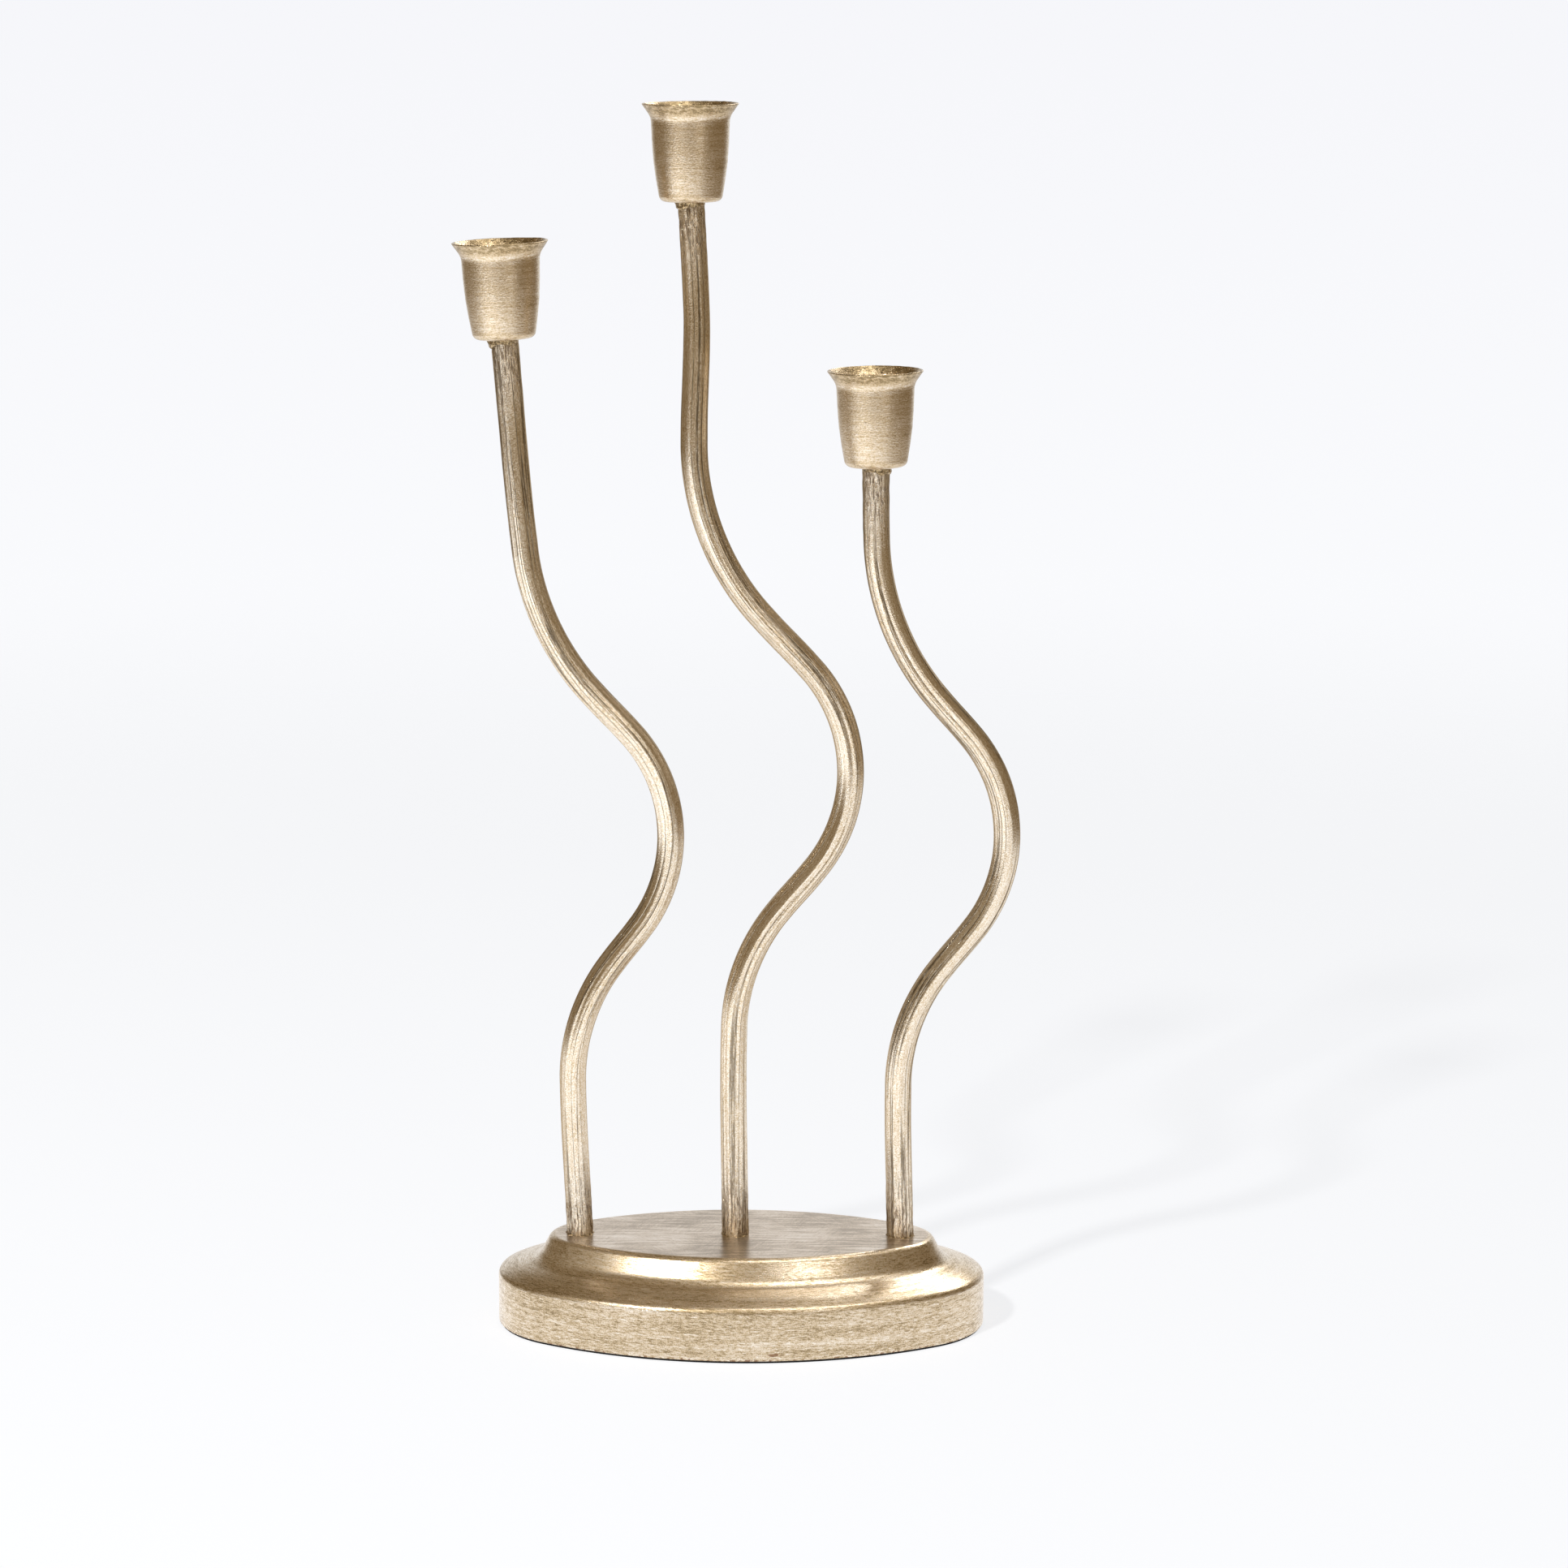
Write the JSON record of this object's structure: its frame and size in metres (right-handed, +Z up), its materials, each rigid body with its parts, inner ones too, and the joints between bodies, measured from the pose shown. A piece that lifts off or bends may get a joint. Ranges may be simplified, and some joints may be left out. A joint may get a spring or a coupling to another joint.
{
  "type": "candle holder",
  "caption": "Free-standing taper-candle holder: wavy round stems at stepped heights rise from an oval moulded plinth, each with a flared spun cup, in brushed antique gold.",
  "frame": {"origin": "on the ground, under the middle of the oval plinth", "axes": "+Z up, +X along the plinth's long axis to the viewer's right, +Y away from the viewer"},
  "size_m": [0.2012, 0.102, 0.4385],
  "materials": {
    "gilt_plinth": "fibreboard under brushed antique-gold lacquer",
    "gilt_stem": "antique gold brushed lengthways over a dark undercoat",
    "gilt_cup": "antique gold brushed round and round",
    "braze": "lumpy brazed bead under the same gold",
    "felt": "pressed black felt",
    "fastener": "zinc plated"
  },
  "bodies": {
    "root": {"base_plinth": "gilt_plinth", "felt_pad": "felt", "left_stem": "gilt_stem", "left_cup": "gilt_cup", "left_cup_braze": "braze", "left_washer": "fastener", "left_screw": "fastener", "middle_stem": "gilt_stem", "middle_cup": "gilt_cup", "middle_cup_braze": "braze", "middle_washer": "fastener", "middle_screw": "fastener", "right_stem": "gilt_stem", "right_cup": "gilt_cup", "right_cup_braze": "braze", "right_washer": "fastener", "right_screw": "fastener"}
  },
  "joints": []
}
